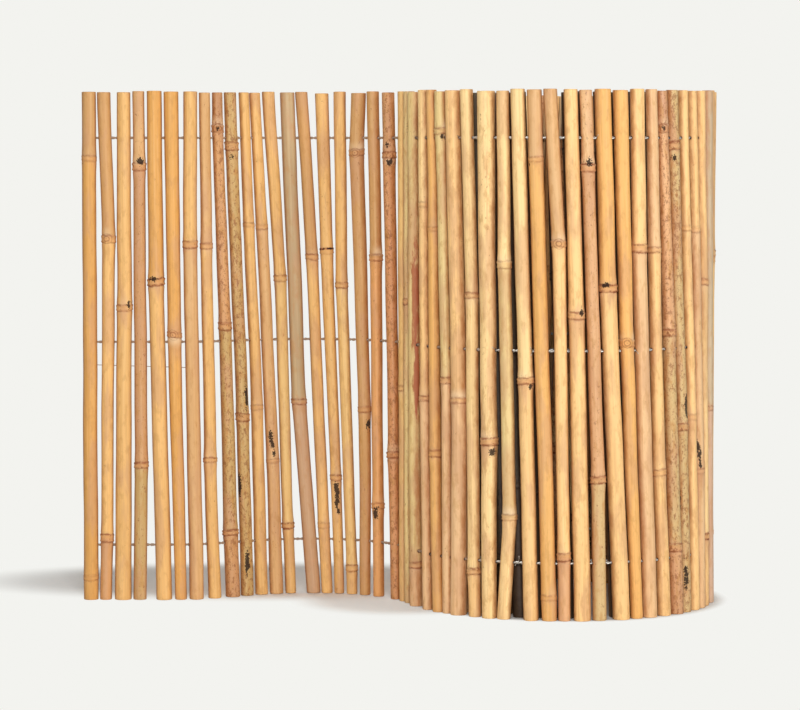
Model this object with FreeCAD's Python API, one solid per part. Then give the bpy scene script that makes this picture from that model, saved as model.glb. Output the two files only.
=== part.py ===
import FreeCAD, Part
import math
import os

os.makedirs("parts", exist_ok=True)
Vector = FreeCAD.Vector

# Canes: cut pieces of bamboo culm that stand side by side, all of one length.
cane_length = 500.0
cane_sides = 10
node_swell = 0.8
node_skirt = 5.0

# Wires: three wires threaded through holes drilled across every cane, ending inside the first one.
wire_side = 1.8
hole_clearance = 0.25
foot_to_wire = 54.0
head_to_wire = 46.0
wire_inset = 1.0

# Plan of the standing panel, from its free end on the left into the roll.
lead_run = 90.0
bow_radius = 80.0
bow_turn = 30.0
bow_run = 45.0
neck_radius = 105.0
neck_turn = 105.0
roll_radius = 152.0
turn_clearance = 0.5

# Canes out of sight, behind and inside the roll's front, plain and shoulder to shoulder.
hidden_count = 88
hidden_sides = 6
hidden_diameter = 15.0
hidden_gap = 0.4

# The canes in sight repeat one sequence. A row gives a cane's diameter at the top and the bottom,
# and each node ring's height with how far the cane is bent there, along the panel from the straight
# line between its ends.
cane_sequence = [
    (13.5, 14.0, ((22, 0.0), (434, 0.0))),
    (13.5, 12.0, ((61, 1.2), (355, 4.2))),
    (13.0, 16.0, ((288, 1.0),)),
    (11.5, 13.0, ((133, 1.8), (426, 0.6))),
    (15.0, 16.0, ((313, -1.5),)),
    (15.0, 12.0, ((261, -1.5),)),
    (14.0, 14.5, ((350, -2.2),)),
    (11.0, 13.0, ((137, -1.9), (348, -1.1))),
    (10.5, 15.0, ((64, -0.8), (269, 0.5), (463, -0.8))),
    (12.0, 12.5, ((178, 1.6), (446, -0.2))),
    (10.0, 12.5, ((187, 2.2), (368, 0.4))),
    (10.5, 13.0, ((133, 2.0), (366, 2.2))),
    (13.0, 11.0, ((68, 0.0), (315, 3.8))),
    (14.0, 13.5, ((192, -4.5),)),
    (12.5, 11.5, ((68, 0.0), (336, 2.6))),
    (14.0, 10.0, ((116, 0.7), (342, -0.6))),
    (12.5, 11.0, ((26, 0.4), (308, -2.8))),
    (14.5, 10.5, ((185, 2.2), (440, -3.4))),
    (12.5, 11.0, ((90, 0.5), (336, 1.8))),
    (13.0, 11.0, ((142, 0.2), (437, 0.5))),
    (11.0, 10.0, ((210, 0.0),)),
    (11.0, 10.0, ((295, 0.0),)),
    (12.5, 13.0, ((40, 0.0),)),
    (11.0, 11.5, ((204, -1.8), (390, 0.0))),
    (10.5, 13.0, ((152, -2.2), (367, 0.8))),
    (12.0, 10.5, ((223, 3.4), (461, 0.8))),
    (14.5, 15.5, ((205, 5.0),)),
    (12.0, 11.5, ((43, -0.3), (305, 2.2))),
    (17.5, 15.0, ((168, 1.0),)),
    (12.0, 13.0, ((97, 6.4), (335, 1.4))),
    (14.0, 14.5, ((226, 0.7),)),
]

# Gaps between neighbours along the middle line, from the free end: first at the top of the panel,
# then at its foot. Each gap has a cane after it, so the number of gaps sets the canes in sight.
top_gaps = [
    1.0, 6.2, 2.2, 2.2, 1.5, 4.5, 1.5, 2.8, 2.8, 4.0, 1.8, 3.2, 6.0, 0.8, 7.2, 5.2,
    7.0, 3.0, 7.8, 14.0, 3.0, 3.2, 12.2, 4.2, 3.2, 3.8, 4.2, 7.2, 2.8, 1.5, 2.2,
    1.5, 5.8, 1.8, 3.2, 2.5, 3.5, 3.5, 2.2, 2.2, 5.5, 5.2, 4.8, 8.0, 1.8, 5.0,
]
foot_gaps = [
    1.5, 3.0, 2.0, 9.5, 2.5, 2.2, 5.2, 6.0, 2.2, 3.5, 3.2, 2.5, 10.8, 1.0, 1.8, 3.0,
    4.2, 6.2, 14.5, 6.0, 3.0, 9.5, 13.8, 5.8, 0.8, 1.0, 6.5, 2.2, 0.8, 13.2, 3.2,
    1.0, 3.0, 2.0, 7.5, 2.5, 1.8, 4.2, 3.5, 1.2, 4.0, 2.2, 4.0, 8.8, 1.5, 5.0,
]

wire_heights = {
    "bottom_wire": foot_to_wire,
    "middle_wire": (foot_to_wire + cane_length - head_to_wire) / 2,
    "top_wire": cane_length - head_to_wire,
}
thickest_cane = max(max(row[0], row[1]) for row in cane_sequence)
turn_pitch = thickest_cane / 2 + node_swell + hidden_diameter / 2 + turn_clearance


def arc_from(x, y, heading, radius, turn):
    """End of an arc that starts at a point with a heading; a positive turn bends it to the left."""
    side = math.copysign(radius, turn)
    end_heading = heading + turn
    x += side * (math.sin(end_heading) - math.sin(heading))
    y += side * (math.cos(heading) - math.cos(end_heading))
    return x, y, end_heading


def plan_point(distance):
    """Place and heading on the panel's middle line, a distance along it from the free end."""
    x, y, heading = 0.0, 0.0, 0.0
    bends = [(lead_run, bow_radius, bow_turn), (bow_run, neck_radius, -neck_turn)]
    for run, radius, turn_degrees in bends:
        step = min(distance, run)
        x += step * math.cos(heading)
        y += step * math.sin(heading)
        distance -= step
        turn = math.radians(turn_degrees)
        part = min(1.0, max(0.0, distance) / (radius * abs(turn)))
        x, y, heading = arc_from(x, y, heading, radius, turn * part)
        distance -= part * radius * abs(turn)
    if distance <= 0:
        return x, y, heading
    centre_x = x - roll_radius * math.sin(heading)
    centre_y = y + roll_radius * math.cos(heading)
    radius = math.sqrt(roll_radius ** 2 - turn_pitch * distance / math.pi)
    heading += (roll_radius - radius) * 2 * math.pi / turn_pitch
    return centre_x + radius * math.sin(heading), centre_y - radius * math.cos(heading), heading


class Cane:
    """A cane that leans in the panel, its ends at two places on the middle line, bent at its nodes."""

    def __init__(self, top_diameter, bottom_diameter, top_at, bottom_at, nodes, sides):
        self.radii = (bottom_diameter / 2, top_diameter / 2)
        self.places = (bottom_at, top_at)
        self.nodes = [(height, bend) for height, bend in nodes if height + node_skirt < cane_length]
        self.sides = sides
        self.foot = plan_point(bottom_at)
        self.head = plan_point(top_at)
        self.heading = plan_point((bottom_at + top_at) / 2)[2]

    def bend_at(self, height):
        """Shift from the straight line: none at the ends, and even between one node and the next."""
        corners = [(0.0, 0.0)] + self.nodes + [(cane_length, 0.0)]
        for (low, low_bend), (high, high_bend) in zip(corners, corners[1:]):
            if height <= high:
                return low_bend + (high_bend - low_bend) * (height - low) / (high - low)

    def axis_at(self, height):
        share = height / cane_length
        bend = self.bend_at(height)
        x = self.foot[0] + share * (self.head[0] - self.foot[0]) + bend * math.cos(self.heading)
        y = self.foot[1] + share * (self.head[1] - self.foot[1]) + bend * math.sin(self.heading)
        return Vector(x, y, height)

    def radius_at(self, height):
        return self.radii[0] + (self.radii[1] - self.radii[0]) * height / cane_length

    def section(self, height, radius, first_corner):
        centre = self.axis_at(height)
        corners = []
        for number in range(self.sides + 1):
            angle = self.heading + (number + first_corner) * 2 * math.pi / self.sides
            corners.append(centre + Vector(radius * math.cos(angle), radius * math.sin(angle), 0))
        return Part.makePolygon(corners)

    def solid(self, first_corner=0.5):
        """Loft through the foot, each node ring, the step above it, and the head."""
        stations = [(0.0, self.radius_at(0.0))]
        for node, _ in self.nodes:
            stations.append((node, self.radius_at(node) + node_swell))
            stations.append((node + node_skirt, self.radius_at(node + node_skirt)))
        stations.append((cane_length, self.radius_at(cane_length)))
        sections = [self.section(height, radius, first_corner) for height, radius in stations]
        return Part.makeLoft(sections, True, True)


def next_places(places, before, after, gaps):
    """Places of the next cane's foot and head, past half of each diameter and the gap between."""
    return tuple(
        place + radius_before + gap + radius_after
        for place, radius_before, gap, radius_after in zip(places, before, gaps, after)
    )


def seen_canes():
    top, foot, nodes = cane_sequence[0]
    canes = [Cane(top, foot, top / 2, foot / 2, nodes, cane_sides)]
    for number, gaps in enumerate(zip(foot_gaps, top_gaps), 1):
        top, foot, nodes = cane_sequence[number % len(cane_sequence)]
        places = next_places(canes[-1].places, canes[-1].radii, (foot / 2, top / 2), gaps)
        canes.append(Cane(top, foot, places[1], places[0], nodes, cane_sides))
    return canes


def hidden_canes(last):
    """Canes that go on from the last one in sight; the first of them clears its node rings and bends."""
    canes = []
    radii = (hidden_diameter / 2, hidden_diameter / 2)
    gap = hidden_gap + node_swell + max([0.0] + [bend for _, bend in last.nodes])
    for _ in range(hidden_count):
        places = next_places(last.places, last.radii, radii, (gap, gap))
        last = Cane(hidden_diameter, hidden_diameter, places[1], places[0], (), hidden_sides)
        canes.append(last)
        gap = hidden_gap
    return canes


def wire_points(canes, height):
    """A wire's middle line: from just inside the first cane's hole through the axis of each cane."""
    first = canes[0]
    along = Vector(math.cos(first.heading), math.sin(first.heading), 0)
    end = first.axis_at(height) - along * (first.radius_at(height) - wire_inset)
    return [end] + [cane.axis_at(height) for cane in canes]


def wire_solid(points):
    """Square bar along the points: its outline in plan, mitred at each bend, raised to its height."""
    directions = [(after - before).normalize() for before, after in zip(points, points[1:])]
    left = []
    right = []
    for number, point in enumerate(points):
        before = directions[max(number - 1, 0)]
        after = directions[min(number, len(directions) - 1)]
        mitre = (before + after).normalize()
        across = Vector(-mitre.y, mitre.x, 0) * (wire_side / 2 / mitre.dot(before))
        base = point - Vector(0, 0, wire_side / 2)
        left.append(base + across)
        right.append(base - across)
    outline = left + right[::-1] + left[:1]
    return Part.Face(Part.makePolygon(outline)).extrude(Vector(0, 0, wire_side))


def hole(cane, height, points):
    """Hole across a cane along its wire, wider than the wire by as much as the wire bends in it."""
    place = cane.axis_at(height)
    number = points.index(place)
    before = (place - points[number - 1]).normalize()
    after = (points[number + 1] - place).normalize() if place != points[-1] else before
    along = (before + after).normalize()
    reach = cane.radius_at(height) + node_swell
    bend = abs(before.cross(along).z)
    width = wire_side + 2 * (hole_clearance + reach * bend)
    tall = wire_side + 2 * hole_clearance
    drill = Part.makeBox(4 * reach, width, tall, Vector(-2 * reach, -width / 2, -tall / 2))
    drill.rotate(Vector(0, 0, 0), Vector(0, 0, 1), math.degrees(math.atan2(along.y, along.x)))
    drill.translate(place)
    return drill


def drilled(cane, routes):
    solid = cane.solid()
    for height, points in routes:
        solid = solid.cut(hole(cane, height, points))
    return solid


canes = seen_canes()
routes = {name: (height, wire_points(canes, height)) for name, height in wire_heights.items()}
shapes = {}
for number, cane in enumerate(canes, 1):
    shapes["cane_%02d" % number] = drilled(cane, list(routes.values()))
for name, (height, points) in routes.items():
    shapes[name] = wire_solid(points)
hidden = [cane.solid(first_corner=0) for cane in hidden_canes(canes[-1])]
shapes["hidden_canes"] = Part.makeCompound(hidden)

# The origin lies on the floor under the middle of the panel's box.
box = Part.makeCompound(list(shapes.values())).BoundBox
for name, shape in shapes.items():
    shape.translate(Vector(-box.Center.x, -box.Center.y, 0))
    shape.exportStep("parts/%s.step" % name)
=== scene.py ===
import math
import random
import bmesh
import bpy
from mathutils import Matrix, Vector, noise


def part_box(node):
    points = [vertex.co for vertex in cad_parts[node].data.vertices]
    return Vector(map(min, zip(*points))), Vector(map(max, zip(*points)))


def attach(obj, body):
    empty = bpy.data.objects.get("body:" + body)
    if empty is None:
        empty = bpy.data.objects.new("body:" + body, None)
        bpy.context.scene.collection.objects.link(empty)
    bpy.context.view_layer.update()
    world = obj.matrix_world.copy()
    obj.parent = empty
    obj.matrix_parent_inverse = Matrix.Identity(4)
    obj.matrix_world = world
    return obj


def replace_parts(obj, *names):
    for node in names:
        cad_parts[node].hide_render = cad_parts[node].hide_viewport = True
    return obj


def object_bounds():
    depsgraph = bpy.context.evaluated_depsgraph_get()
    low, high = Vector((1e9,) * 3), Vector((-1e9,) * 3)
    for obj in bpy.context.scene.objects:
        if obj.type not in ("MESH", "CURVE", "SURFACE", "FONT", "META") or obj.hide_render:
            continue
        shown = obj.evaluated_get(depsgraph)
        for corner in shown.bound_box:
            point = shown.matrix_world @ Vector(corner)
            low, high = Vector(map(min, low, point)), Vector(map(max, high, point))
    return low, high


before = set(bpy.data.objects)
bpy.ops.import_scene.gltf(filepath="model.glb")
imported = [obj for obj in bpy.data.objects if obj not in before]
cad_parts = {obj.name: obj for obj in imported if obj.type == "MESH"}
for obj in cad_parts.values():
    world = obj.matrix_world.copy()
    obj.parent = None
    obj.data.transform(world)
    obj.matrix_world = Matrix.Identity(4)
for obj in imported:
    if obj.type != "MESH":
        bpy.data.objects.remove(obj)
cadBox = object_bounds()
mm = 0.001
levelDigits, weldReach = 5, 1e-5  # corners this near, in metres, count as one level or one corner
noiseMiddle = 0.5  # the mean of a noise


def paint(code):  # screen colour as six hex digits, to Blender's linear values
    shares = [int(code[i:i + 2], 16) / 255 for i in (0, 2, 4)]
    return tuple(v / 12.92 if v <= 0.04045 else ((v + 0.055) / 1.055) ** 2.4 for v in shares) + (1.0,)


# Shader writing: arithmetic on a Link adds Math nodes

class Link:
    def __init__(self, shader, socket):
        self.shader = shader
        self.socket = socket

    def __add__(self, other):
        return self.shader.math("ADD", self, other)

    def __sub__(self, other):
        return self.shader.math("SUBTRACT", self, other)

    def __rsub__(self, other):
        return self.shader.math("SUBTRACT", other, self)

    def __mul__(self, other):
        return self.shader.math("MULTIPLY", self, other)

    def __abs__(self):
        return self.shader.math("ABSOLUTE", self, 0.0)

    __radd__ = __add__
    __rmul__ = __mul__


class Shader:
    def __init__(self, owner):  # a material or a world
        self.owner = owner
        owner.use_nodes = True
        self.tree = owner.node_tree
        self.tree.nodes.clear()

    def add(self, kind, settings, sockets, output=0):
        node = self.tree.nodes.new(kind)
        for name, value in settings.items():
            setattr(node, name, value)
        for key, value in sockets.items():
            if isinstance(value, Link):
                self.tree.links.new(value.socket, node.inputs[key])
            else:
                node.inputs[key].default_value = value
        return Link(self, node.outputs[output]) if node.outputs else None

    def math(self, operation, a, b):
        return self.add("ShaderNodeMath", {"operation": operation}, {0: a, 1: b})

    def mix(self, share, a, b):
        return self.add("ShaderNodeMix", {"data_type": "RGBA"}, {0: share, 6: a, 7: b}, 2)

    def stretch(self, vector, sizes):
        return self.add("ShaderNodeVectorMath", {"operation": "MULTIPLY"}, {0: vector, 1: sizes})

    def reach(self, vector):
        return self.add("ShaderNodeVectorMath", {"operation": "LENGTH"}, {0: vector}, "Value")

    def carried(self, name, output):  # a value that the mesh carries at each of its points
        return self.add("ShaderNodeAttribute", {"attribute_name": name}, {}, output)

    def split(self, vector):
        return [self.add("ShaderNodeSeparateXYZ", {}, {0: vector}, i) for i in range(3)]

    def cloud(self, vector, scale, detail=3.0, rough=0.55):
        sockets = {"Vector": vector, "Scale": scale, "Detail": detail, "Roughness": rough}
        return self.add("ShaderNodeTexNoise", {}, sockets, "Fac")

    def ease(self, value, start, end, low=0.0, high=1.0):  # smooth step, also downwards
        sockets = {"Value": value, "From Min": start, "From Max": end, "To Min": low, "To Max": high}
        return self.add("ShaderNodeMapRange", {"interpolation_type": "SMOOTHSTEP"}, sockets)

    def line(self, value, width):  # 1 where the value is 0, fading to 0 a width away
        return self.ease(abs(value), 0.0, width, 1.0, 0.0)

    def bump(self, height, strength, depth):
        sockets = {"Strength": strength, "Distance": depth, "Height": height}
        return self.add("ShaderNodeBump", {}, sockets, "Normal")

    def surface(self, sockets):
        shader = self.add("ShaderNodeBsdfPrincipled", {}, sockets)
        self.add("ShaderNodeOutputMaterial", {}, {"Surface": shader})
        return self.owner


# Bamboo skin and cut ends

skinLook = {
    # the last colour of this line is painted shade on the cane sides
    "streakBrown": "BC8648", "paleStraw": "EBCB98", "blush": "C8966F", "sideShadeBrown": "A5622F",
    "ringBrown": "8A4A28", "bandOrange": "CE925E", "bloomPale": "EBD0A8", "speckBrown": "8A5028",
    # the last colour here is painted shade for the turns inside the roll
    "soot": "241914", "stainRed": "A04A2A", "paintedShade": "1C130D",
    # noises: scale, part of that scale along the cane, detail, roughness
    "noises": {
        "fibre": (1500, 0.012, 2.0, 0.55), "streak": (420, 0.02, 3.0, 0.55), "patch": (60, 0.25, 4.0, 0.55),
        "mottle": (210, 0.35, 4.0, 0.65), "speck": (440, 0.8, 3.0, 0.7), "blot": (300, 0.6, 5.0, 0.7),
        "waver": (190, 1.0, 3.0, 0.55), "breaks": (260, 1.0, 3.0, 0.65),
    },
    # washes over the plain tone: noise, where it starts and is full, strength, more where worn, colour
    "washes": [
        ("streak", 0.5, 0.64, 0.22, 0.0, "streakBrown"), ("streak", 0.5, 0.36, 0.16, 0.0, "paleStraw"),
        ("patch", 0.48, 0.62, 0.45, 0.3, "blush"), ("mottle", 0.5, 0.66, 0.3, 0.45, "streakBrown"),
        ("fibre", 0.48, 0.64, 0.16, 0.0, "streakBrown"),
    ],
    # painted shade on the cane sides: its noise range and shares
    "sideShadeNoise": (0.25, 0.6), "sideShadeShares": (0.35, 0.75),
    # at a node, in mm from its middle: the start and end of each fade, and the width of each line
    "waverReach": 3.4, "blushFrom": (-26.0, -5.0), "blushTo": (1.0, -2.5), "bandFade": 1.2,
    "bloomFrom": (14.0, 3.0), "bloomTo": (1.0, 3.5), "upperLine": 1.8, "lowerLine": 2.1,
    "smearUp": 5.0, "smearDown": 6.0, "smearFade": 1.0, "dirtNear": (11.0, 2.5), "scarEnds": (6.5, 4.0),
    "blushShare": 0.55, "bandShare": 0.7, "patchNoise": (0.35, 0.6), "smearNoise": (0.4, 0.62),
    "smearShare": 0.6, "breakNoise": (0.36, 0.58), "ringShares": (0.35, 0.75), "ringShare": 0.9,
    "ringBlack": (1.1, 1.5), "dirtMore": 0.2, "dirtNoise": (0.72, 0.8), "dirtShare": 0.75,
    "swirlTurns": 1.3, "swirlWaver": 4.0, "swirlLine": 0.8, "swirlShare": 0.7,
    # spots: noise, more where worn, where they start and are full
    "spots": [("speck", 0.21, 0.73, 0.79), ("blot", 0.22, 0.69, 0.77)], "spotShare": 0.6,
    "stainWaver": 1.3, "stainEnds": (0.4, 0.75), "stainShare": 0.8,
    "sootScale": 620, "sootWaver": 1.4, "sootGrain": 0.75, "sootEnds": (0.05, 0.25), "sootFade": (0.05, 0.3),
    "sootShare": 0.93, "mouthRadius": 1.35, "mouthFade": 0.25, "bruiseReach": 2.2, "bruiseShare": 0.45,
    "bumpStrength": 0.35, "bumpDepth": 0.0004, "fibreDepth": 0.3, "streakDepth": 0.25, "mouthDepth": 3.0,
    "spotDepth": 0.2, "rough": 0.5, "patchRough": 0.16, "ringRough": 0.12, "sootRough": 0.3,
    "mouthRough": 0.3, "specular": 0.32,
}


def makeSkin(look):
    s = Shader(bpy.data.materials.new("bambooSkin"))
    grain = s.carried("grainPlace", "Vector")
    skin = s.carried("skinTone", "Color")
    fromNode, half, tint = s.split(s.carried("nodePlace", "Vector"))
    upperDark, lowerDark, bloom = s.split(s.carried("nodeDark", "Vector"))
    sooty, stained, wear = s.split(s.carried("skinMarks", "Vector"))
    paintedShade, sideShade = s.split(s.carried("paintedSideShade", "Vector"))[:2]
    scar = s.reach(s.carried("budPlace", "Vector"))
    mouth = s.reach(s.carried("mouthPlace", "Vector"))
    fields = {}
    for name, (scale, along, detail, rough) in look["noises"].items():
        fields[name] = s.cloud(s.stretch(grain, (1, 1, along)), scale, detail, rough)
    streak, patch, mottle, blot = [fields[name] for name in ("streak", "patch", "mottle", "blot")]

    def lay(share, colour):  # a colour over the skin so far
        nonlocal skin
        skin = s.mix(share, skin, paint(look[colour]))

    for name, start, full, strength, whereWorn, colour in look["washes"]:
        lay(s.ease(fields[name], start, full) * (strength + whereWorn * wear), colour)
    # painted shade on the sides of each cane, where it meets its neighbours
    lay(sideShade * s.ease(mottle, *look["sideShadeNoise"], *look["sideShadeShares"]), "sideShadeBrown")

    # the node: a blush below, a tinted band between two smeared and broken lines, a pale bloom above, dirt
    place = fromNode + (fields["waver"] - noiseMiddle) * look["waverReach"]
    patchy = s.ease(patch, *look["patchNoise"])
    below = s.ease(place, *look["blushFrom"]) * s.ease(place, *look["blushTo"]) * tint
    lay(below * patchy * look["blushShare"], "blush")
    lay(s.ease(abs(place), half, half - look["bandFade"]) * tint * look["bandShare"], "bandOrange")
    above = s.ease(place, *look["bloomFrom"]) * s.ease(place, *look["bloomTo"])
    lay(above * bloom * patchy, "bloomPale")
    lowEdge = 0.0 - half
    fade = look["smearFade"]
    smearUp = s.ease(place, half + look["smearUp"], half) * s.ease(place, half - fade, half)
    smearDown = s.ease(place, lowEdge - look["smearDown"], lowEdge) * s.ease(place, lowEdge + fade, lowEdge)
    smear = smearUp * upperDark + smearDown * lowerDark
    lay(smear * s.ease(mottle, *look["smearNoise"]) * look["smearShare"], "blush")
    least, more = look["ringShares"]
    rings = s.line(place - half, look["upperLine"]) * upperDark
    rings = rings + s.line(place + half, look["lowerLine"]) * lowerDark
    rings = rings * (least + more * s.ease(fields["breaks"], *look["breakNoise"]))
    lay(rings * look["ringShare"], "ringBrown")
    lay(s.ease(rings, *look["ringBlack"]), "soot")
    nearNode = s.ease(abs(place), *look["dirtNear"]) * tint
    lay(s.ease(blot + look["dirtMore"] * nearNode, *look["dirtNoise"]) * look["dirtShare"], "speckBrown")

    # the bud scar: rings round the bud
    turns = scar * look["swirlTurns"] + (mottle - noiseMiddle) * look["swirlWaver"]
    swirl = s.line(s.math("SINE", turns, 0.0), look["swirlLine"]) * s.ease(scar, *look["scarEnds"])
    lay(swirl * look["swirlShare"], "ringBrown")

    spots = [s.ease(fields[name] + more * wear, start, full) for name, more, start, full in look["spots"]]
    for spot in spots:
        lay(spot * look["spotShare"], "speckBrown")
    stainNoise = (mottle + streak - 2 * noiseMiddle) * look["stainWaver"]
    lay(s.ease(stained + stainNoise, *look["stainEnds"]) * look["stainShare"], "stainRed")
    grains = s.add("ShaderNodeTexVoronoi", {}, {"Vector": grain, "Scale": look["sootScale"]}, "Distance")
    ragged = sooty + (blot - noiseMiddle) * look["sootWaver"] - grains * look["sootGrain"]
    soot = s.ease(ragged, *look["sootEnds"]) * s.ease(sooty, *look["sootFade"])
    lay(soot * look["sootShare"], "soot")

    # drilled mouth round each wire, with a bruised rim, its hole painted shade as nothing is cut; painted
    # shade over the turns inside the roll
    edge = look["mouthRadius"]
    lay(s.ease(mouth, edge * look["bruiseReach"], edge) * look["bruiseShare"], "ringBrown")
    # the wire's hole is not cut: its mouth is painted shade in the soot colour, sunk only by the bump
    holeShade = s.ease(mouth, edge + look["mouthFade"], edge)
    lay(holeShade, "soot")
    # painted shade: darkens the outer side of the turns inside the roll
    lay(paintedShade, "paintedShade")

    height = fields["fibre"] * look["fibreDepth"] + streak * look["streakDepth"]
    height = height - rings - holeShade * look["mouthDepth"] - swirl
    for spot in spots:
        height = height - spot * look["spotDepth"]
    rough = look["rough"] + look["patchRough"] * patch + look["ringRough"] * rings
    rough = rough + look["sootRough"] * soot + look["mouthRough"] * holeShade
    return s.surface({
        "Base Color": skin, "Roughness": rough, "Specular IOR Level": look["specular"],
        "Normal": s.bump(height, look["bumpStrength"], look["bumpDepth"])})


endLook = {
    "wood": "E0C08A", "bundle": "94673A", "rim": "A8692F", "hollow": "4A2E18", "along": 0.05,
    "bundleScale": 1150, "bundleEnds": (0.42, 0.22), "bundleShare": 0.8,
    "shadeScale": 260, "shadeEnds": (0.4, 0.7), "shadeShare": 0.4,
    # the hollow colour is painted shade for the inside of each cane's hollow
    "rimEnds": (0.86, 0.98), "rimShare": 0.7, "hollowShadeEnds": (0.34, 0.1), "hollowShare": 0.85,
    "bumpStrength": 0.4, "bumpDepth": 0.0003, "rough": 0.78,
}


def makeCutEnd(look):
    s = Shader(bpy.data.materials.new("bambooCutEnd"))
    flat = s.stretch(s.carried("grainPlace", "Vector"), (1, 1, look["along"]))
    share = s.carried("endShare", "Fac")  # 1 at the rim, 0 in the hollow
    dots = s.add("ShaderNodeTexVoronoi", {}, {"Vector": flat, "Scale": look["bundleScale"]}, "Distance")
    shade = s.cloud(flat, look["shadeScale"])
    wood = paint(look["wood"])
    # the last mix is painted shade, darkening the inside of the hollow
    for value, ends, strength, colour in (
            (dots, "bundleEnds", "bundleShare", "bundle"), (shade, "shadeEnds", "shadeShare", "rim"),
            (share, "rimEnds", "rimShare", "rim"), (share, "hollowShadeEnds", "hollowShare", "hollow")):
        wood = s.mix(s.ease(value, *look[ends]) * look[strength], wood, paint(look[colour]))
    return s.surface({
        "Base Color": wood, "Roughness": look["rough"],
        "Normal": s.bump(dots, look["bumpStrength"], look["bumpDepth"])})


skinMaterial = makeSkin(skinLook)
endMaterial = makeCutEnd(endLook)
print("bamboo materials made")


# Canes: read from the frame, then grown into round, crooked culms

tones = {
    "honey": "E8B671", "straw": "EAC07C", "amber": "DDA257", "tan": "CB9A62", "pink": "DBAC75",
    "clay": "CAA27E", "rose": "D29B67", "brown": "CA9563", "dusky": "BC8860", "olive": "C5A268",
    "lime": "D6B673", "taupe": "BEA37C", "russet": "CF9061", "orange": "E0A164",
}

# One row for each cane of the repeating sequence, from the free end: a tone for each stretch between nodes
# and a look for each node, both from the foot up; wear from 0 to 1; and marks as kind, height in mm, angle
# from the panel's front (-Y) in degrees, reach up and down in mm, and reach round the cane in degrees.
caneLooks = [
    (("amber", "amber", "tan"), ("faint", "faint"), 0.05, (("soot", 429, -62, 1.5, 10),)),
    (("rose", "honey", "tan"), ("double", "bud"), 0.15, ()),
    (("honey", "honey"), ("plain",), 0.1, (("soot", 291, 40, 5, 22),)),
    (("olive", "brown", "pink"), ("double", "rough"), 0.45, (("soot", 431, 12, 5, 34),)),
    (("honey", "amber"), ("dark",), 0.05, (("soot", 316, -15, 3, 34),)),
    (("amber", "amber"), ("bud",), 0.05, ()),
    (("pink", "honey"), ("double",), 0.1, ()),
    (("honey", "honey", "pink"), ("plain", "plain"), 0.2, ()),
    (("brown", "olive", "rose", "dusky"), ("dark", "double", "bud"), 0.75, (("soot", 463, 10, 2.5, 20),)),
    (("olive", "olive", "olive"), ("rough", "double"), 0.75,
     (("soot", 436, 0, 3, 26), ("soot", 198, 55, 15, 28), ("soot", 110, -45, 16, 24),
      ("soot", 34, 10, 17, 24))),
    (("honey", "honey", "honey"), ("faint", "faint"), 0.2, ()),
    (("pink", "pink", "honey"), ("faint", "faint"), 0.25,
     (("soot", 158, -8, 6, 28), ("soot", 149, 8, 5, 22), ("soot", 140, 16, 4, 16))),
    (("honey", "straw", "honey"), ("dark", "plain"), 0.05, ()),
    (("clay", "taupe"), ("plain",), 0.02, ()),
    (("honey", "honey", "tan"), ("faint", "plain"), 0.1, ()),
    (("honey", "honey", "honey"), ("plain", "black"), 0.3,
     (("soot", 107, -4, 5, 38), ("soot", 99, 14, 4, 28), ("soot", 90, 4, 6, 30), ("soot", 81, 18, 3, 20))),
    (("honey", "straw", "honey"), ("plain", "plain"), 0.05, ()),
    (("tan", "tan", "tan"), ("plain", "bud"), 0.3, (("soot", 170, 50, 7, 36),)),
    (("orange", "orange", "tan"), ("pale", "pale"), 0.3, (("soot", 83, -25, 7, 36),)),
    (("russet", "russet", "rose"), ("rough", "rough"), 0.75,
     (("soot", 430, 5, 4, 40), ("soot", 447, -20, 3, 26))),
    (("straw", "straw"), ("plain",), 0.1, ()),
    (("lime", "lime"), ("dark",), 0.4, (("soot", 464, 0, 6, 30), ("soot", 293, 10, 9, 26))),
    (("pink", "lime"), ("plain",), 0.3, (("stain", 310, 5, 58, 55), ("stain", 215, 10, 30, 40))),
    (("pink", "honey", "straw"), ("plain", "faint"), 0.2, ()),
    (("amber", "amber", "amber"), ("plain", "faint"), 0.05, ()),
    (("pink", "lime", "lime"), ("double", "pale"), 0.25, (("soot", 455, 10, 3, 20),)),
    (("pink", "honey"), ("pale",), 0.15, ()),
    (("honey", "straw", "straw"), ("rough", "plain"), 0.05, ()),
    (("straw", "straw"), ("rough",), 0.3, (("soot", 158, 20, 4, 36),)),
    (("straw", "lime", "straw"), ("pale", "pale"), 0.05, ()),
    (("honey", "straw"), ("rough",), 0.1, (("soot", 221, 35, 4, 22),)),
]

# Node looks: darkness of the upper and the lower line, tint, bloom; ridge, bud and half width in mm
nodeLooks = {
    "faint": (0.5, 0.3, 0.35, 0.1, 0.25, 0.0, 2.3),
    "plain": (0.75, 0.6, 0.5, 0.15, 0.45, 0.0, 2.6),
    "double": (0.8, 0.9, 0.8, 0.1, 0.6, 0.0, 3.3),
    "dark": (0.9, 1.1, 0.8, 0.1, 0.6, 0.0, 3.0),
    "black": (1.8, 0.2, 0.3, 0.1, 0.4, 0.0, 2.6),
    "bud": (0.55, 0.4, 0.5, 0.6, 0.5, 1.1, 3.0),
    "pale": (0.6, 0.5, 0.3, 0.6, 0.6, 0.3, 2.8),
    "rough": (0.9, 0.8, 0.8, 0.4, 0.75, 0.5, 3.2),
}

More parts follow.
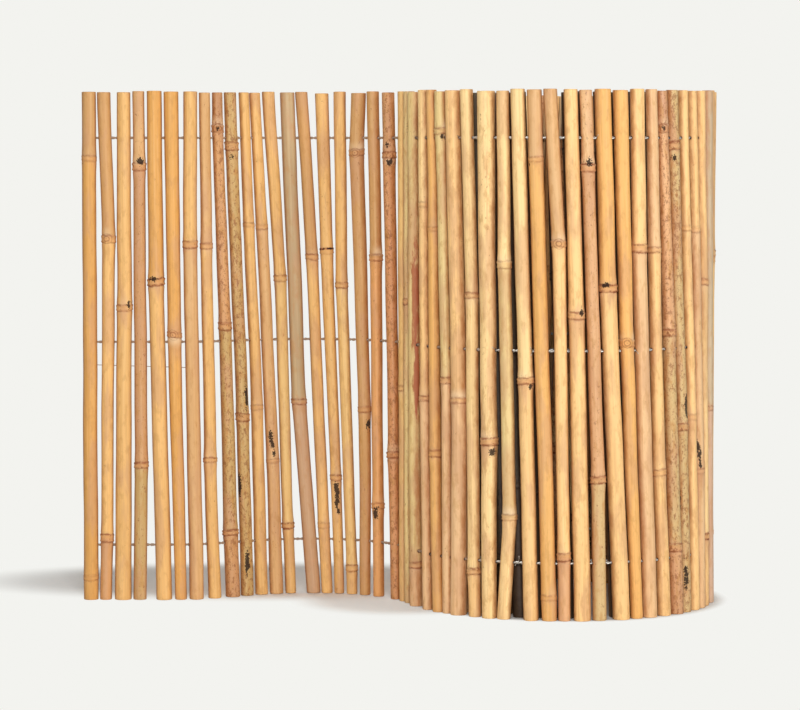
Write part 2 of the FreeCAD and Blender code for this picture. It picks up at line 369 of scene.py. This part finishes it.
# Lengths in mm; a run is the length along the cane of one slow change
caneLook = {
    "sides": 26, "ringStep": 4.5, "nodeStep": 0.6, "nodeReach": 7.2, "bendReach": 7.0,
    "oval": 0.03, "wander": 0.4, "wanderRun": 90, "lump": 0.2, "lumpRun": 40, "lumpTurn": 1.6,
    "rimBevel": 0.7, "hollowShare": 0.3, "hollowVary": (0.7, 1.2), "hollowDepth": 12.0,
    "headCut": (0.0, 2.0), "hiddenCut": (2.2, 3.4), "sawSeed": 12,
    "swell": 0.2, "swellRidge": 0.9, "swellReach": 9.0, "ringProud": 0.4, "nodeSight": 25,
    # ridges and grooves of a node: upper or lower line, shift outward from it, reach, share of the ridge
    "nodeProfile": ((1, -0.9, 1.2, 1.0), (-1, -0.6, 0.9, 1.0), (1, 0.6, 0.7, -0.7), (-1, 0.8, 0.8, -0.7)),
    "budTurn": 0.4, "budReach": 3.0, "scarFrom": 0.8, "noScar": 50.0,
    "shadeVary": (0.96, 1.04), "toneBlend": 5, "toneVary": 0.05, "toneRun": 70,
    # steps through the noises from one cane's seed to the next
    "grainApart": (0.37, 0.61, 0.13), "wanderApart": 3.7, "toneApart": 5.3, "lumpApart": 1.9,
    # painted shade: where it starts round the cane sides, and its middle and slope over the outer side of
    # inner turns
    "sideShadeFrom": 0.72, "paintedShadeMiddle": 0.7, "paintedShadeSlope": 1.5,
    # the roll's canes get painted light: paler, as if lit more than the flat stretch
    "lastFlat": 20, "flatPaintedLight": (1.0, 1.0, 1.0), "rollPaintedLight": (1.15, 1.25, 1.5),
}


class Cane:  # one cane of the frame: its axis, its radii and the heights of its nodes, in metres
    def __init__(self, corners):
        levels = {}
        for p in corners:
            levels.setdefault(round(p.z, levelDigits), []).append(p)
        heights = sorted(levels)
        sides = len(levels[heights[0]])
        self.rings = []  # height, middle and radius of each whole ring of corners, from the foot up
        for z in heights:
            ring = levels[z]
            if len(ring) >= sides:
                middle = sum(ring, Vector()) / len(ring)
                self.rings.append((z, middle, sum((p - middle).length for p in ring) / len(ring)))
        self.foot, self.head = self.rings[0][1], self.rings[-1][1]
        self.radii = (self.rings[0][2], self.rings[-1][2])
        proud = caneLook["ringProud"] * mm
        self.nodes = [z for z, middle, radius in self.rings if radius > self.radiusAt(z) + proud]

    def axisAt(self, height):
        for (low, start, _), (high, end, _) in zip(self.rings, self.rings[1:]):
            if height <= high:
                break
        return start.lerp(end, (min(max(height, self.foot.z), self.head.z) - low) / (high - low))

    def bentAt(self, height, reach):  # the axis with its corners rounded off
        return (self.axisAt(height - reach) + 2 * self.axisAt(height) + self.axisAt(height + reach)) / 4

    def radiusAt(self, height):
        share = (height - self.foot.z) / (self.head.z - self.foot.z)
        return self.radii[0] + share * (self.radii[1] - self.radii[0])


def readCanes(nodeName):  # one Cane for each solid of a node
    mesh = bmesh.new()
    mesh.from_mesh(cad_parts[nodeName].data)
    bmesh.ops.remove_doubles(mesh, verts=mesh.verts, dist=weldReach)
    mesh.verts.index_update()
    seen = set()
    canes = []
    for start in mesh.verts:
        if start in seen:
            continue
        island = [start]
        seen.add(start)
        for vert in island:
            for edge in vert.link_edges:
                other = edge.other_vert(vert)
                if other not in seen:
                    seen.add(other)
                    island.append(other)
        canes.append(Cane([v.co.copy() for v in island]))
    mesh.free()
    return canes


caneNames = sorted(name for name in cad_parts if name.startswith("cane_"))
wireNames = ["bottom_wire", "middle_wire", "top_wire"]
midHeight = (cadBox[0][2] + cadBox[1][2]) / 2
wireHeights = [sum(corner.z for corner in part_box(name)) / 2 for name in wireNames]
seenCanes = [readCanes(name)[0] for name in caneNames]
hiddenCanes = readCanes("hidden_canes")
allCanes = seenCanes + hiddenCanes
for before, cane, after in zip(allCanes[:1] + allCanes, allCanes, allCanes[1:] + allCanes[-1:]):
    run = after.axisAt(midHeight) - before.axisAt(midHeight)
    cane.along = Vector((run.x, run.y, 0)).normalized()
    cane.front = Vector((cane.along.y, -cane.along.x, 0))
    cane.facing = math.atan2(-cane.along.y, cane.along.x)  # angle round the cane that faces -Y
sawChance = random.Random(caneLook["sawSeed"])
for number, cane in enumerate(allCanes):  # the heads were sawn off a little unevenly, lower inside the roll
    cut = caneLook["headCut"] if number < len(seenCanes) else caneLook["hiddenCut"]
    cane.head = cane.axisAt(cane.head.z - sawChance.uniform(*cut) * mm)
print("canes read:", len(seenCanes), "in sight and", len(hiddenCanes), "hidden")


def nodeShape(offset, half, ridge, look):  # how far the culm stands proud, in mm, at an offset from a node
    proud = (look["swell"] + look["swellRidge"] * ridge) * math.exp(-(offset / look["swellReach"]) ** 2)
    for line, shift, reach, share in look["nodeProfile"]:
        proud += share * ridge * math.exp(-((offset - line * (half + shift)) / reach) ** 2)
    return proud


def caneHeights(cane, look):  # ring heights in mm: close at the nodes, wider between
    length = (cane.head.z - cane.foot.z) / mm
    bevel = look["rimBevel"]
    heights = {bevel, length - bevel}
    steps = int((length - 2 * bevel) / look["ringStep"])
    for i in range(1, steps):
        height = bevel + i * (length - 2 * bevel) / steps
        if all(abs(height - node / mm) > look["nodeReach"] for node in cane.nodes):
            heights.add(height)
    count = int(look["nodeReach"] / look["nodeStep"])
    for node in cane.nodes:
        for i in range(-count, count + 1):
            height = node / mm + i * look["nodeStep"]
            if bevel < height < length - bevel:
                heights.add(height)
    return sorted(heights)


nodeVary = {
    "upper": (0.8, 1.15), "lower": (0.75, 1.15), "ridge": (0.7, 1.2), "half": (0.8, 1.2),
    "turns": (1, 1, 1, -1), "tilt": (0.0, 0.8), "budTurn": (-0.4, 0.4),
}


class Node:  # one node ring's own look, a little different each time
    def __init__(self, height, style, facing, chance):
        upper, lower, self.tint, self.bloom, ridge, self.bud, half = nodeLooks[style]
        self.height = height / mm
        self.upper = upper * chance.uniform(*nodeVary["upper"])
        self.lower = lower * chance.uniform(*nodeVary["lower"])
        self.ridge = ridge * chance.uniform(*nodeVary["ridge"])
        self.half = half * chance.uniform(*nodeVary["half"])
        self.turn = chance.choice(nodeVary["turns"])  # -1 stands the node on its head
        self.tilt = chance.uniform(*nodeVary["tilt"])
        self.tiltAngle = chance.uniform(0, 2 * math.pi)
        self.budAngle = facing + chance.uniform(*nodeVary["budTurn"])

    def offset(self, height, angle):
        return (height - self.height) * self.turn + self.tilt * math.cos(angle - self.tiltAngle)


def held(share):  # between 0 and 1
    return min(1.0, max(0.0, share))


def turnBetween(a, b):
    return math.atan2(math.sin(a - b), math.cos(a - b))


class Culm:  # gathers the points, faces and carried values of one or more canes
    def __init__(self):
        self.points = []
        self.faces = []
        self.slots = []
        self.values = {name: [] for name in (
            "grainPlace", "skinTone", "nodePlace", "nodeDark", "skinMarks", "budPlace", "mouthPlace",
            "endShare", "paintedSideShade")}

    def grow(self, cane, row, seed, tint, paintedShade, look):
        chance = random.Random(seed)
        toneRow, nodeRow, wear, marks = row
        # tint is painted light, making the roll's canes paler than the flat stretch's
        shade = Vector(tint) * chance.uniform(*look["shadeVary"])
        names = [toneRow[i % len(toneRow)] for i in range(len(cane.nodes) + 1)]
        stretches = [shade * Vector(paint(tones[name])[:3]) for name in names]
        styles = [nodeRow[i % len(nodeRow)] for i in range(len(cane.nodes))]
        nodes = [Node(z, style, cane.facing, chance) for z, style in zip(cane.nodes, styles)]
        phase = [chance.uniform(0, 2 * math.pi) for _ in range(2)]
        grainShift = Vector([seed * apart for apart in look["grainApart"]])
        length = (cane.head.z - cane.foot.z) / mm
        hollow = look["hollowShare"] * chance.uniform(*look["hollowVary"])
        first = len(self.points)
        sides = look["sides"]

        def wander(height):  # slow bend of the culm, in mm, none at the ends
            hold = math.sin(math.pi * held(height / length)) ** 0.5
            run, lane = height / look["wanderRun"], seed * look["wanderApart"]
            sway = [noise.noise(Vector((run, lane, layer))) for layer in (0.0, 9.0)]
            return look["wander"] * 2 * hold * Vector(sway)

        def toneAt(height):
            tone = stretches[0]
            for node, above in zip(nodes, stretches[1:]):
                tone = tone.lerp(above, held((height - node.height) / look["toneBlend"] + 0.5))
            drift = noise.noise(Vector((height / look["toneRun"], seed * look["toneApart"], 4.0)))
            return tone * (1 + look["toneVary"] * drift)

        def markAt(kind, height, angle):
            total = 0.0
            for name, place, side, tall, wide in marks:
                if name == kind and abs(height - place) < 3 * tall:  # nothing is left of it further off
                    turn = math.degrees(turnBetween(angle, cane.facing + math.radians(side)))
                    total += math.exp(-(turn / wide) ** 2 - ((height - place) / tall) ** 2)
            return total

        def ring(height, inward, sinks, share):  # inward and sinks shape the cut ends
            z = min(max(height, 0.0), length) * mm + cane.foot.z
            middle = cane.bentAt(z, look["bendReach"] * mm)
            bend = wander(height)
            radius = cane.radiusAt(z) / mm
            wire = min(wireHeights, key=lambda h: abs(h - z))
            near = min(nodes, key=lambda n: abs(height - n.height))
            tone = toneAt(height)
            isNear = abs(height - near.height) < look["nodeSight"]
            dark = Vector((near.upper, near.lower, near.bloom)) if isNear else Vector()
            for side in range(sides):
                angle = 2 * math.pi * side / sides
                offset = near.offset(height, angle)
                out = radius * (1 + look["oval"] * math.cos(2 * angle + phase[0]))
                out += nodeShape(offset, near.half, near.ridge, look)
                around = look["lumpTurn"] * math.cos(angle + phase[1])
                lumpPlace = Vector((height / look["lumpRun"], around, seed * look["lumpApart"]))
                out += look["lump"] * noise.noise(lumpPlace)
                turn = turnBetween(angle, near.budAngle)
                if near.bud and isNear:
                    far = (turn / look["budTurn"]) ** 2 + (offset / look["budReach"]) ** 2
                    out += near.bud * math.exp(-far)
                noScar = 0.0 if near.bud > look["scarFrom"] else look["noScar"]
                out = out * inward - sinks
                x, y = out * math.sin(angle) + bend.x, out * math.cos(angle) + bend.y
                self.points.append(Vector((middle.x, middle.y, z)) + (cane.along * x + cane.front * y) * mm)
                self.values["grainPlace"].append(Vector((x, y, height)) * mm + grainShift)
                self.values["skinTone"].append(tone)
                self.values["nodePlace"].append(Vector((offset, near.half, near.tint if isNear else 0.0)))
                self.values["nodeDark"].append(dark)
                soot, stain = markAt("soot", height, angle), markAt("stain", height, angle)
                self.values["skinMarks"].append(Vector((soot, stain, wear)))
                self.values["budPlace"].append(Vector((turn * radius, offset, noScar)))
                self.values["mouthPlace"].append(Vector((y - bend.y, (z - wire) / mm, 0.0)))
                self.values["endShare"].append(share)
                # painted shade on the outer side of the roll's inner turns
                outer = held(look["paintedShadeMiddle"] + look["paintedShadeSlope"] * math.cos(angle))
                # painted shade on the sides that face the neighbouring canes
                sideShaded = max(0.0, abs(math.sin(angle)) - look["sideShadeFrom"]) / (1 - look["sideShadeFrom"])
                self.values["paintedSideShade"].append(Vector((paintedShade * outer, sideShaded, 0.0)))

        bevel = look["rimBevel"]
        deep = look["hollowDepth"]
        foot = [  # rings of the cut end from the hollow out: height, share of the radius, sink, end share
            (deep, hollow * 0.3, 0, 0), (deep, hollow, 0, 0), (0.8, hollow, 0, 0.1),
            (0.0, hollow, -0.4, 0.36), (0.0, 0.7, 0, 0.7), (0.0, 1.0, bevel * 1.15, 0.95),
            (0.0, 1.0, bevel * 0.9, 1.0), (bevel * 0.3, 1.0, bevel * 0.3, 1.0),
        ]
        head = [(length - height, inward, sinks, share) for height, inward, sinks, share in reversed(foot)]
        rings = foot + [(height, 1.0, 0.0, 1.0) for height in caneHeights(cane, look)] + head
        skinStart, skinEnd = len(foot) - 2, len(rings) - len(head) + 1
        for values in rings:
            ring(*values)
        for i in range(len(rings) - 1):
            for side in range(sides):
                a = first + i * sides + side
                b = first + i * sides + (side + 1) % sides
                self.faces.append((a, a + sides, b + sides, b))
                self.slots.append(0 if skinStart <= i < skinEnd else 1)
        for i, turn in ((0, 1), (len(rings) - 1, -1)):
            cap = [first + i * sides + side for side in range(sides)]
            self.faces.append(tuple(cap[::turn]))
            self.slots.append(1)

    def piece(self, name):
        mesh = bpy.data.meshes.new(name)
        mesh.from_pydata(self.points, [], self.faces)
        mesh.materials.append(skinMaterial)
        mesh.materials.append(endMaterial)
        mesh.polygons.foreach_set("material_index", self.slots)
        mesh.polygons.foreach_set("use_smooth", [True] * len(self.faces))
        for key, values in self.values.items():
            if key == "skinTone":
                carried = mesh.attributes.new(key, "FLOAT_COLOR", "POINT")
                carried.data.foreach_set("color", [c for v in values for c in (*v, 1.0)])
            elif key == "endShare":
                carried = mesh.attributes.new(key, "FLOAT", "POINT")
                carried.data.foreach_set("value", values)
            else:
                carried = mesh.attributes.new(key, "FLOAT_VECTOR", "POINT")
                carried.data.foreach_set("vector", [c for v in values for c in v])
        mesh.validate()
        mesh.update()
        obj = bpy.data.objects.new(name, mesh)
        bpy.context.scene.collection.objects.link(obj)
        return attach(obj, "root")


for number, (name, cane) in enumerate(zip(caneNames, seenCanes)):
    culm = Culm()
    # the roll's canes get painted light
    tint = caneLook["flatPaintedLight"] if number <= caneLook["lastFlat"] else caneLook["rollPaintedLight"]
    culm.grow(cane, caneLooks[number % len(caneLooks)], number + 1, tint, 0.0, caneLook)
    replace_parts(culm.piece("culm_%02d" % (number + 1)), name)
print("canes in sight grown")

# the outside of the roll goes on round the back; the turns inside it get painted shade on their outer side
behindLook = dict(
    caneLook, sides=12, ringStep=14.0, nodeStep=1.2, nodeReach=6.0, outside=36, paintedShade=0.94, seed=31,
    firstSeed=100, nodeHeights=((30, 150), (260, 460)), slim=(0.76, 0.95), taper=(0.93, 1.0))
culm = Culm()
chance = random.Random(behindLook["seed"])
for number, cane in enumerate(hiddenCanes):
    cane.nodes = [chance.uniform(*ends) * mm for ends in behindLook["nodeHeights"]]
    slim = chance.uniform(*behindLook["slim"])
    cane.radii = (cane.radii[0] * slim * chance.uniform(*behindLook["taper"]), cane.radii[1] * slim)
    paintedShade = 0.0 if number < behindLook["outside"] else behindLook["paintedShade"]
    seed = behindLook["firstSeed"] + number
    culm.grow(cane, chance.choice(caneLooks), seed, behindLook["rollPaintedLight"], paintedShade, behindLook)
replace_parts(culm.piece("culms_behind"), "hidden_canes")
print("hidden canes grown")


# Wires: two thin strands twisted round each other, threaded through every cane

# Lengths in mm, but the rust goes over to zinc between two places along X in metres
wireLook = {
    "strand": 0.85, "apart": 0.72, "pitch": 9.0, "step": 1.8, "sides": 6, "inset": 1.0, "steep": 0.95,
    "zinc": "B4B1A9", "bright": "E2E1DC", "rust": "94704E", "spangleScale": 900, "spangleEnds": (0.35, 0.7),
    "brightShare": 0.4, "rustScale": 55, "rustPlace": (0.02, 0.1), "rustMore": (0.4, -0.1),
    "rustEnds": (0.45, 0.7), "rustShare": 0.8, "rough": 0.32, "spangleRough": 0.2, "rustRough": 0.25,
    "metal": 0.85, "bumpStrength": 0.2, "bumpDepth": 0.0001,
}

# A loose tail behind the first canes
tailLook = {"radius": 0.38, "height": 231.0, "fall": 0.5, "gap": 1.2, "canes": 7}

# Loose wire ends that stick out between canes of the roll: wire from the bottom, place along X, rise and
# sideways reach, in mm. The bend and the end have shares of the way out, along and up.
frayLook = {
    "radius": 0.3, "rollFrom": 22, "out": 0.6, "bend": (1.0, 0.4, 0.6), "end": (1.4, 0.5, 1.0),
    "ends": [
        (2, 18, 2.0, 3.0), (2, 46, 3.0, -2.0), (2, 60, 2.5, 2.5), (1, 95, 3.5, -4.0), (1, 126, 4.0, -3.0),
        (1, 126, -4.0, -2.0), (0, 113, 7.0, 5.0), (0, 113, -2.0, -3.0), (2, 190, 3.0, 3.0),
        (1, 215, -3.0, 2.5),
    ],
}


def makeZinc(look):
    s = Shader(bpy.data.materials.new("galvanisedWire"))
    place = s.add("ShaderNodeTexCoord", {}, {}, "Object")
    spangle = s.cloud(place, look["spangleScale"])
    along = s.split(place)[0]
    more = s.ease(along, *look["rustPlace"], *look["rustMore"])
    rust = s.ease(s.cloud(place, look["rustScale"]) + more, *look["rustEnds"])
    bright = s.ease(spangle, *look["spangleEnds"]) * look["brightShare"]
    colour = s.mix(bright, paint(look["zinc"]), paint(look["bright"]))
    colour = s.mix(rust * look["rustShare"], colour, paint(look["rust"]))
    return s.surface({
        "Base Color": colour, "Metallic": look["metal"] - look["metal"] * rust,
        "Roughness": look["rough"] + look["spangleRough"] * spangle + look["rustRough"] * rust,
        "Normal": s.bump(spangle, look["bumpStrength"], look["bumpDepth"])})


wireMaterial = makeZinc(wireLook)


def tube(points, faces, path, radius, sides):  # round bar along a path, closed at both ends
    first = len(points)
    up = Vector((0, 0, 1))
    for i, place in enumerate(path):
        ahead = (path[min(i + 1, len(path) - 1)] - path[max(i - 1, 0)]).normalized()
        isSteep = abs(ahead.z) >= wireLook["steep"]
        across = Vector((1, 0, 0)) if isSteep else ahead.cross(up).normalized()
        over = across.cross(ahead)
        for side in range(sides):
            angle = 2 * math.pi * side / sides
            points.append(place + (across * math.cos(angle) + over * math.sin(angle)) * radius)
    for i in range(len(path) - 1):
        for side in range(sides):
            a = first + i * sides + side
            b = first + i * sides + (side + 1) % sides
            faces.append((a, b, b + sides, a + sides))
    faces.append(tuple(first + side for side in reversed(range(sides))))
    faces.append(tuple(first + (len(path) - 1) * sides + side for side in range(sides)))


def wirePiece(name, points, faces):
    mesh = bpy.data.meshes.new(name)
    mesh.from_pydata(points, [], faces)
    mesh.materials.append(wireMaterial)
    mesh.polygons.foreach_set("use_smooth", [True] * len(faces))
    mesh.update()
    obj = bpy.data.objects.new(name, mesh)
    bpy.context.scene.collection.objects.link(obj)
    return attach(obj, "root")


def evenly(corners, step):  # points a step apart along a chain of corners
    path = [corners[0]]
    for start, end in zip(corners, corners[1:]):
        count = max(1, round((end - start).length / step))
        path += [start.lerp(end, (i + 1) / count) for i in range(count)]
    return path


def wireRoute(height, inset):  # from inside the first cane's hole through the axis of each cane
    first = seenCanes[0]
    end = first.axisAt(height) - first.along * (first.radiusAt(height) - inset)
    return [end] + [cane.axisAt(height) for cane in allCanes]


for name, height in zip(wireNames, wireHeights):
    path = evenly(wireRoute(height, wireLook["inset"] * mm), wireLook["step"] * mm)
    points, faces = [], []
    for strand in (0, math.pi):
        twisted = []
        for i, place in enumerate(path):
            turn = strand + 2 * math.pi * i * wireLook["step"] / wireLook["pitch"]
            ahead = (path[min(i + 1, len(path) - 1)] - path[max(i - 1, 0)]).normalized()
            across = ahead.cross(Vector((0, 0, 1)))
            shift = (across * math.cos(turn) + Vector((0, 0, math.sin(turn)))) * wireLook["apart"] * mm
            twisted.append(place + shift)
        tube(points, faces, twisted, wireLook["strand"] * mm, wireLook["sides"])
    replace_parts(wirePiece(name + "_strands", points, faces), name)
print("wires twisted")

points, faces = [], []
tail = []
for i, cane in enumerate(seenCanes[:tailLook["canes"]]):
    height = (tailLook["height"] - tailLook["fall"] * i) * mm
    tail.append(cane.axisAt(height) - cane.front * (cane.radiusAt(height) + tailLook["gap"] * mm))
tube(points, faces, tail, tailLook["radius"] * mm, wireLook["sides"])
roll = seenCanes[frayLook["rollFrom"]:]
for wire, place, rise, reach in frayLook["ends"]:
    height = wireHeights[wire]
    pairs = [((a.axisAt(height) + b.axisAt(height)) / 2, a) for a, b in zip(roll, roll[1:])]
    start, cane = min(pairs, key=lambda pair: abs(pair[0].x - place * mm))
    out = cane.front * (cane.radiusAt(height) * frayLook["out"])
    fray = [start]
    for outShare, alongShare, upShare in (frayLook["bend"], frayLook["end"]):
        sideways = cane.along * (reach * alongShare * mm)
        fray.append(start + out * outShare + sideways + Vector((0, 0, rise * upShare * mm)))
    tube(points, faces, fray, frayLook["radius"] * mm, wireLook["sides"])
wirePiece("loose_wire", points, faces)
print("loose wire added")


# Floor, light and camera

# Places in metres; a patch's sizes multiply the distance from its middle, so a smaller one reaches further
floorLook = {
    "size": 12.0, "drop": 0.0003, "pale": "F3F3EF", "lit": "F2F2EF",
    "patchMiddle": (-0.13, 0.13, 0), "patchSize": (3.2, 7.0, 1.0), "patchEnds": (0.65, 1.1),
    "bendMiddle": (0.0, -0.01, 0), "bendSize": (10.0, 10.0, 1.0), "bendPlain": 0.35,
    "rollMiddle": (0.164, 0.009, 0), "rollEnds": (0.146, 0.162),
}


def makeFloor(look):  # lit near the panel for its shadows, plain further out
    s = Shader(bpy.data.materials.new("paleFloor"))
    rays = s.add("ShaderNodeLightPath", {}, {}, "Is Camera Ray")
    lit = s.add("ShaderNodeBsdfDiffuse", {}, {"Color": paint(look["lit"])})
    glow = s.add("ShaderNodeEmission", {}, {"Color": paint(look["pale"]), "Strength": 1.0})
    place = s.add("ShaderNodeTexCoord", {}, {}, "Object")
    patch, bend, roll = [
        s.add("ShaderNodeVectorMath", {"operation": "SUBTRACT"}, {0: place, 1: look[name + "Middle"]})
        for name in ("patch", "bend", "roll")]
    byPatch = s.reach(s.stretch(patch, look["patchSize"]))
    byBend = s.reach(s.stretch(bend, look["bendSize"]))
    plain = s.ease(byPatch, *look["patchEnds"]) * s.ease(byBend, *look["patchEnds"], look["bendPlain"], 1.0)
    share = rays * plain * s.ease(s.reach(roll), *look["rollEnds"])
    mixed = s.add("ShaderNodeMixShader", {}, {0: share, 1: lit, 2: glow})
    s.add("ShaderNodeOutputMaterial", {}, {"Surface": mixed})
    return s.owner


floorMesh = bpy.data.meshes.new("floor")
half = floorLook["size"] / 2
corners = [(-half, -half, 0), (half, -half, 0), (half, half, 0), (-half, half, 0)]
floorMesh.from_pydata(corners, [], [(0, 1, 2, 3)])
floorMesh.materials.append(makeFloor(floorLook))
floor = bpy.data.objects.new("floor", floorMesh)
floor.location.z = -floorLook["drop"]
bpy.context.scene.collection.objects.link(floor)

lightLook = {  # each lamp's place, size and watts
    "front": ((0.1, -3.3, 1.1), 0.9, 84.0), "key": ((2.6, -1.8, 1.9), 0.9, 29.0),
    "top": ((0.2, 0.6, 2.8), 2.0, 12.0), "back": ((-0.6, 3.0, 1.5), 1.6, 32.0),
    "aim": (0, 0, 0.25), "worldStrength": 0.11,
}


def addLamp(name, place, size, watts):
    lamp = bpy.data.lights.new(name, "AREA")
    lamp.size = size
    lamp.energy = watts
    obj = bpy.data.objects.new(name, lamp)
    obj.location = place
    aim = Vector(lightLook["aim"]) - Vector(place)
    obj.rotation_euler = aim.to_track_quat("-Z", "Y").to_euler()
    bpy.context.scene.collection.objects.link(obj)


for name in ("front", "key", "top", "back"):
    addLamp(name, *lightLook[name])


def makeWorld(look, pale):
    s = Shader(bpy.data.worlds.new("studio"))
    kinds = ("Is Camera Ray", "Is Glossy Ray", "Is Transmission Ray")
    camera, glossy, through = [s.add("ShaderNodeLightPath", {}, {}, kind) for kind in kinds]
    soft = s.add("ShaderNodeBackground", {}, {"Color": (1, 1, 1, 1), "Strength": look["worldStrength"]})
    seen = s.add("ShaderNodeBackground", {}, {"Color": paint(pale), "Strength": 1.0})
    mixed = s.add("ShaderNodeMixShader", {}, {0: camera + glossy + through, 1: soft, 2: seen})
    s.add("ShaderNodeOutputWorld", {}, {"Surface": mixed})
    return s.owner


bpy.context.scene.world = makeWorld(lightLook, floorLook["pale"])

cameraLook = {"place": (0.0012, -3.085, 0.450), "sensor": 36, "lens": 141.49, "tilt": 2.6, "shift": -0.0878}
camera = bpy.data.cameras.new("camera")
camera.sensor_width = cameraLook["sensor"]
camera.lens = cameraLook["lens"]
camera.shift_y = cameraLook["shift"]
cameraObject = bpy.data.objects.new("camera", camera)
cameraObject.location = cameraLook["place"]
cameraObject.rotation_euler = (math.radians(90 - cameraLook["tilt"]), 0, 0)
bpy.context.scene.collection.objects.link(cameraObject)
bpy.context.scene.camera = cameraObject
bpy.context.scene.view_settings.view_transform = "Standard"
print("floor, light and camera set")
